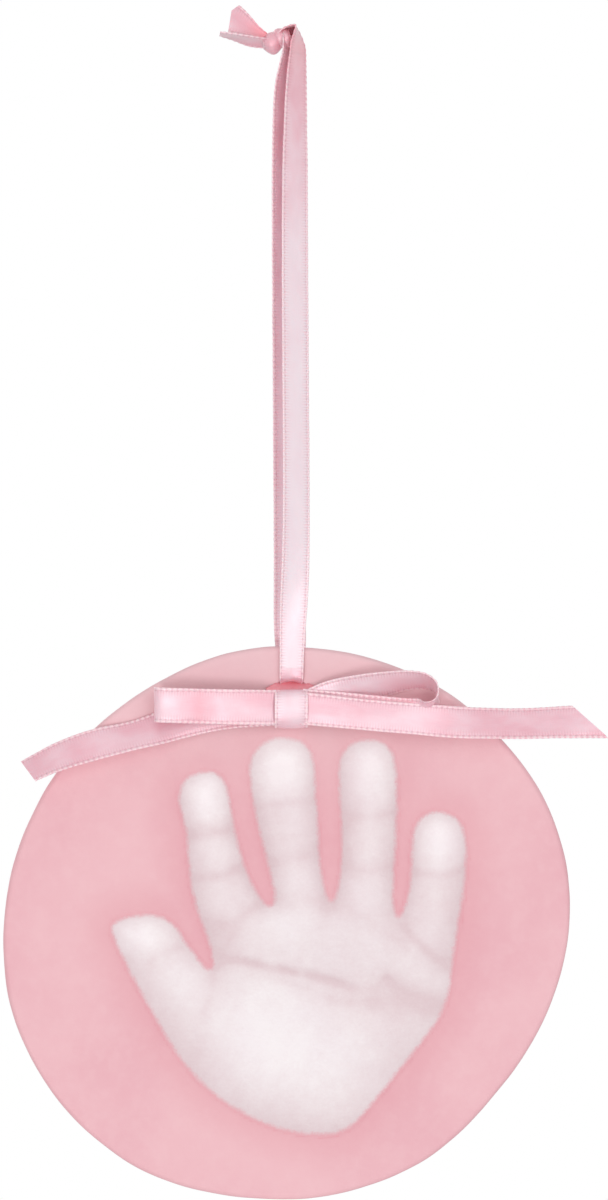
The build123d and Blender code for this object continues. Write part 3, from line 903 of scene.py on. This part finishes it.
def hole_cutter():
    """Round cutter for the hole, flared where it meets both faces."""
    profile = (
        (-6.0, 4.9), (-3.95, 4.15), (-3.45, 3.8), (-2.9, 3.63), (-2.2, hole_radius), (2.4, hole_radius),
        (3.0, 3.66), (3.45, 3.9), (6.0, 4.9),
    )
    sides = 72
    middle = at(hole_px, hole_py) / mm
    vertices, faces = [], []
    for depth, radius in profile:
        for i in range(sides):
            turn = 2 * math.pi * i / sides
            x, z = middle.x + radius * math.cos(turn), middle.z + radius * math.sin(turn)
            vertices.append(Vector((x, depth, z)) * mm)
    last = len(vertices) - sides
    for start in range(0, last, sides):
        for i in range(sides):
            k = (i + 1) % sides
            faces.append((start + i, start + k, start + sides + k, start + sides + i))
    faces.append(tuple(range(sides))[::-1])
    faces.append(tuple(range(last, last + sides)))
    cutter = new_object("hole_cutter", vertices, faces)
    face_outwards(cutter)
    return cutter


def cut_hole(made):
    """Cut the hole through a mesh."""
    cutter = hole_cutter()
    step = made.modifiers.new("hole", "BOOLEAN")
    step.operation = "DIFFERENCE"
    step.solver = "EXACT"
    step.object = cutter
    depsgraph = bpy.context.evaluated_depsgraph_get()
    made.data = bpy.data.meshes.new_from_object(made.evaluated_get(depsgraph))
    made.modifiers.clear()
    bpy.data.objects.remove(cutter)
    made.data.polygons.foreach_set("use_smooth", [True] * len(made.data.polygons))
    made.data.set_sharp_from_angle(angle=math.radians(50))


def clay_body():
    """The clay. Returns it, its vertices, its painted faces and how far inside the print each vertex is."""
    spots, faces, border = plaque_grid()
    inside = hand_distance(spots)
    depth, print_tone_and_painted_shade = print_shape(spots, inside)
    heights = np.array([undulation(x, z) for x, z in spots]) + depth
    front = np.stack([spots[:, 0], plaque_front + heights, spots[:, 1]], axis=1)
    vertices = np.vstack([front] + rim_rings(spots, heights, border))
    count, side = len(front), len(border)
    rim = len(vertices) - count
    loops = [border] + [range(start, start + side) for start in range(count, len(vertices), side)]
    rim_faces = []
    for first, second in zip(loops[:-1], loops[1:]):
        for i in range(side):
            k = (i + 1) % side
            rim_faces.append((first[i], second[i], second[k], first[k]))
    clay = new_object("clay_plaque", vertices * mm, faces + rim_faces + [tuple(loops[-1])])
    inside = np.concatenate([inside, np.full(rim, far_outside)])
    give_values(clay, "inside", inside)
    give_values(clay, "print_tone_and_painted_shade", np.concatenate([print_tone_and_painted_shade, np.zeros(rim)]))
    face_outwards(clay)
    painted = [face for face in faces if all(inside[corner] < -paint_start for corner in face)]
    painted += rim_faces[:painted_rings * side]
    return clay, vertices, painted, inside


def paint_skin(vertices, normals, faces, inside):
    """Skin of paint over some faces of the clay, thinner beside the print."""
    taper = paint_thickness * smooth_step(-taper_start, -taper_end, inside)
    outer = vertices + normals * (paint_lift + taper)[:, None]
    inner = vertices - normals * paint_root
    used = sorted({corner for face in faces for corner in face})
    count = len(used)
    order = dict(zip(used, range(count)))
    shell = [tuple(order[corner] for corner in face) for face in faces]
    edges = dict.fromkeys(pair for face in shell for pair in zip(face, face[1:] + face[:1]))
    walls = [(a, a + count, b + count, b) for a, b in edges if (b, a) not in edges]
    shell += [tuple(corner + count for corner in face[::-1]) for face in shell] + walls
    paint = new_object("pink_paint_skin", np.vstack([outer[used], inner[used]]) * mm, shell)
    give_values(paint, "inside", np.tile(inside[used], 2))
    face_outwards(paint)
    return paint


def plaque():
    """The clay and its skin of paint, with the hole cut through both."""
    clay, vertices, painted, inside = clay_body()
    normals = np.zeros(len(vertices) * 3)
    clay.data.vertices.foreach_get("normal", normals)
    paint = paint_skin(vertices, normals.reshape(-1, 3), painted, inside)
    for made in (clay, paint):
        cut_hole(made)
    return clay, paint


def paint_colour(s, place, inside):
    """Painted pink, a little patchy, with painted shade beside the print and painted light towards the top.
    """
    patches = s.clouds(place, 38.0, 4.0)
    fine = s.clouds(place, 420.0, 3.0)
    pink = s.mix(s.ramp(patches, 0.3, 0.7), paint_deep, paint_light)
    pink = s.mix(s.ramp(fine, 0.35, 0.75, 0.0, 0.25), pink, paint_speck)
    # Painted shade: deeper pink beside the print
    shade_beside_print = s.times(s.ramp(inside, far_outside, 0.5), 0.42)
    pink = s.mix(shade_beside_print, pink, paint_shaded_beside_print)
    height = s.add("ShaderNodeSeparateXYZ", {0: place}).outputs["Z"]
    # Painted light: paler pink towards the top
    return s.mix(s.ramp(height, -160 * mm, -125 * mm, 0.0, 0.45), pink, pink_painted_light_at_top)


def paint_material():
    """Matt pink paint with a fine grain and faint strokes of the brush across it."""
    s = Shader("pink_chalk_paint")
    place = s.add("ShaderNodeTexCoord").outputs["Object"]
    pink = paint_colour(s, place, s.stored("inside"))
    grain = s.clouds(place, 1500.0, 3.0)
    strokes = s.clouds(s.stretched(place, (90.0, 1.0, 620.0)), 1.0, 4.0)
    normal = s.bump(grain, 0.05 * mm, 0.5)
    normal = s.bump(strokes, 0.12 * mm, 0.35, normal)
    return s.finish(
        Base_Color=pink, Normal=normal, Roughness=s.ramp(grain, 0.3, 0.8, 0.5, 0.66),
        Specular_IOR_Level=0.4,
    )


def clay_material():
    """White air-dried clay, tinted by the paint at the top of the print's walls, bare at the back."""
    s = Shader("white_clay")
    place = s.add("ShaderNodeTexCoord").outputs["Object"]
    inside = s.stored("inside")
    pink = paint_colour(s, place, inside)
    patches = s.clouds(place, 60.0, 4.0)
    white = s.mix(s.ramp(patches, 0.3, 0.7), clay_deep, clay_light)
    mottle = s.maths("MULTIPLY_ADD", s.clouds(place, 1500.0, 3.0, 0.7), 0.36, -0.2)
    # The print's grey tone with its painted shade and highlight, and a fine mottle
    white = s.mix(s.maths("ADD", s.stored("print_tone_and_painted_shade"), mottle), white, clay_grey_painted_shade)
    wobble = s.maths("MULTIPLY_ADD", s.clouds(place, 500.0, 2.0), 0.8, -0.4)
    frayed = s.maths("MULTIPLY_ADD", s.clouds(place, 2600.0, 3.0, 0.7), 1.2, -0.6)
    bare = s.ramp(s.maths("ADD", s.maths("ADD", inside, wobble), frayed), -0.35, 0.85)
    depth = s.add("ShaderNodeSeparateXYZ", {0: place}).outputs["Y"]
    bare = s.maths("MAXIMUM", bare, s.ramp(depth, tint_end * mm, bare_start * mm))
    grain = s.clouds(place, 1300.0, 4.0)
    skin = s.clouds(s.stretched(place, (260.0, 260.0, 1100.0)), 1.0, 3.0)
    normal = s.bump(grain, 0.06 * mm, 0.5)
    normal = s.bump(skin, 0.2 * mm, 0.5, normal)
    return s.finish(
        Base_Color=s.mix(bare, pink, white), Normal=normal, Roughness=s.ramp(grain, 0.3, 0.8, 0.66, 0.82),
        Specular_IOR_Level=0.3,
    )


# Lights, background and floor

def add_lamp(name, place, size, power):
    """Round soft lamp turned towards the object."""
    data = bpy.data.lights.new(name, "AREA")
    data.shape = "DISK"
    data.size = size
    data.energy = power
    lamp = bpy.data.objects.new(name, data)
    lamp.location = place
    lamp.rotation_mode = "QUATERNION"
    lamp.rotation_quaternion = (Vector(lamp_aim) - Vector(place)).to_track_quat("-Z", "Y")
    bpy.context.collection.objects.link(lamp)


def seen_ray(add, link):
    """1 where the camera, a reflection or glass looks straight at the background."""
    path = add("ShaderNodeLightPath")
    value = path.outputs["Is Camera Ray"]
    for name in ("Is Glossy Ray", "Is Transmission Ray"):
        either = add("ShaderNodeMath")
        either.operation = "MAXIMUM"
        link(value, either.inputs[0])
        link(path.outputs[name], either.inputs[1])
        value = either.outputs[0]
    return value


def add_world():
    """Soft white light all round, with plain white behind the object."""
    world = bpy.data.worlds.new("studio")
    bpy.context.scene.world = world
    world.use_nodes = True
    tree = world.node_tree
    tree.nodes.clear()
    add, link = tree.nodes.new, tree.links.new
    soft = add("ShaderNodeBackground")
    soft.inputs["Strength"].default_value = ambient_light
    white = add("ShaderNodeBackground")
    for shade in (soft, white):
        shade.inputs["Color"].default_value = (1, 1, 1, 1)
    either = add("ShaderNodeMixShader")
    out = add("ShaderNodeOutputWorld")
    link(seen_ray(add, link), either.inputs[0])
    link(soft.outputs[0], either.inputs[1])
    link(white.outputs[0], either.inputs[2])
    link(either.outputs[0], out.inputs[0])


def add_floor():
    """Pale round floor, in metres, well below the plaque."""
    radius, level, sides = 11.0, -1.6, 128
    turns = [2 * math.pi * i / sides for i in range(sides)]
    corners = [(radius * math.cos(turn), radius * math.sin(turn), level) for turn in turns]
    floor = new_object("floor", corners, [tuple(range(sides))], smooth=False)
    s = Shader("pale_floor")
    place = s.add("ShaderNodeTexCoord").outputs["Object"]
    pale = s.mix(s.clouds(place, 3.0), floor_deep, floor_light)
    floor.data.materials.append(s.finish(Base_Color=pale, Roughness=0.8))


# Assembly

add_camera()
satin = satin_material()
front_strand, front_line, rear_strand, rear_line = hanging_strands()

clay, paint = plaque()
for made, material in ((clay, clay_material()), (paint, paint_material())):
    made.data.materials.clear()
    made.data.materials.append(material)
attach(clay, "plaque")
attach(paint, "plaque")
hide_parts("clay_disc")
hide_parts("paint_coat")

nail_ribbon, neck_ribbon = over_the_nail(), below_the_nail()
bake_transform(nail_ribbon)
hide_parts("hook_turn", "front_strand_top")
bulb, left_pleat, right_pleat, upper_end, lower_end = knot_pieces()
for piece in (neck_ribbon, bulb, left_pleat, right_pleat, upper_end, lower_end):
    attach(piece, "knot")
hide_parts("top_knot")
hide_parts("knot_tail_upper")
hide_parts("knot_tail_lower")

for strand, node in ((front_strand, "front_strand"), (rear_strand, "rear_strand")):
    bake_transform(strand)
    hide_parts(node)
hole_ribbon = through_the_hole()
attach(hole_ribbon, "strands")
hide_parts("hole_turn")

left_tail, left_line, right_tail, right_line, left_loop, right_loop = bow()
band, lining = bow_band(), tie_turn()
for piece in (band, lining, left_loop, right_loop, *tie_folds()):
    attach(piece, "bow")
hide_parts("bow_knot")
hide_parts("bow_tie_turn")
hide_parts("bow_left_loop")
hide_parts("bow_right_loop")
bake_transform(left_tail)
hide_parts("bow_left_tail_root", "bow_left_tail_end")
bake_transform(right_tail)
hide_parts("bow_right_tail_root", "bow_right_tail_end")

bpy.context.scene.view_settings.view_transform = "Standard"
add_world()
add_floor()
for name, place, size, power in lamps:
    add_lamp(name, place, size, power)
